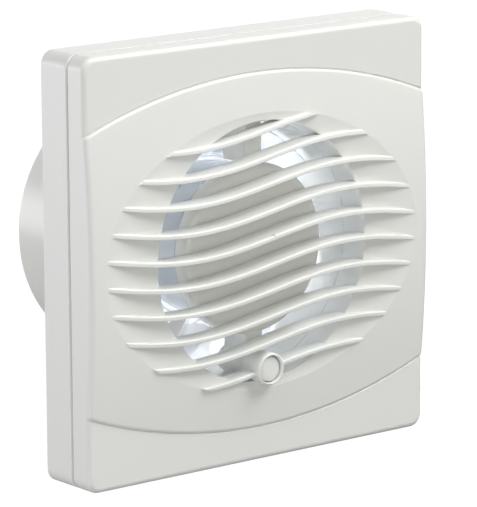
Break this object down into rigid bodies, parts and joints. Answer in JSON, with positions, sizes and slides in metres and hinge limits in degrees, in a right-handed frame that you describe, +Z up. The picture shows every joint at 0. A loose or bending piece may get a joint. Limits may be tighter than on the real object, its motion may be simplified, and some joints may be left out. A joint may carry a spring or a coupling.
{
  "type": "bathroom extractor fan",
  "caption": "Square wall-mounted bathroom extractor fan: crowned white cover with wavy louvres over a round opening, motor cup on struts, clear axial impeller and a round duct spigot.",
  "frame": {"origin": "centre of the wall plane, the back face of the square casing, on the duct axis", "axes": "+Y into the wall along the duct, -Y into the room, +Z up, +X to the right seen from the room"},
  "size_m": [0.155, 0.0877, 0.155],
  "materials": {
    "white_plastic": "smooth moulded plastic with a soft gloss",
    "cream_plastic": "smooth moulded plastic, slightly creamier than the casing",
    "clear_plastic": "clear moulded plastic with a faint blue tint",
    "block_plastic": "fine matt moulded plastic",
    "steel": "bright zinc-plated or ground steel",
    "lamination": "stacked electrical steel sheets, varnished",
    "copper": "enamelled copper",
    "aluminium": "die cast, dull",
    "bronze": "sintered bronze, oil-dark",
    "brass": "turned brass",
    "brown_sleeve": "smooth insulated wire",
    "blue_sleeve": "smooth insulated wire"
  },
  "bodies": {
    "housing": {"back_casing": "white_plastic", "duct_housing": "cream_plastic", "housing_screw_1": "steel", "housing_screw_2": "steel", "housing_screw_3": "steel", "housing_screw_4": "steel", "motor_end_plate": "white_plastic", "stator_core": "lamination", "coil_1": "copper", "coil_2": "copper", "coil_3": "copper", "coil_4": "copper", "shading_ring_1": "copper", "shading_ring_2": "copper", "shading_ring_3": "copper", "shading_ring_4": "copper", "motor_screw_1": "steel", "motor_screw_2": "steel", "front_bearing": "bronze", "rear_bearing": "bronze", "terminal_block": "block_plastic", "terminal_screw_1": "brass", "terminal_screw_2": "brass", "cable_clamp": "block_plastic", "clamp_screw_1": "steel", "clamp_screw_2": "steel", "live_lead": "brown_sleeve", "neutral_lead": "blue_sleeve"},
    "rotor": {"motor_shaft": "steel", "rotor_core": "lamination", "rotor_end_ring_front": "aluminium", "rotor_end_ring_rear": "aluminium", "impeller": "clear_plastic", "impeller_clip": "steel"},
    "cover": {"front_cover": "white_plastic"},
    "cap": {"screw_cap": "white_plastic"},
    "fastener": {"cover_screw": "steel"}
  },
  "joints": [
    {"name": "impeller_spin", "type": "hinge", "parent": "housing", "child": "rotor", "pos_m": [0, 0, 0], "axis": [0, 1, 0], "continuous": true},
    {"name": "cover_pull", "type": "slide", "parent": "housing", "child": "cover", "axis": [0, -1, 0], "range_m": [0, 0.06]},
    {"name": "cap_pull", "type": "slide", "parent": "cover", "child": "cap", "axis": [0, -1, 0], "range_m": [0, 0.012]},
    {"name": "cover_screw_turn", "type": "hinge", "parent": "cover", "child": "fastener", "pos_m": [0, 0, -0.0427], "axis": [0, 1, 0], "continuous": true}
  ]
}
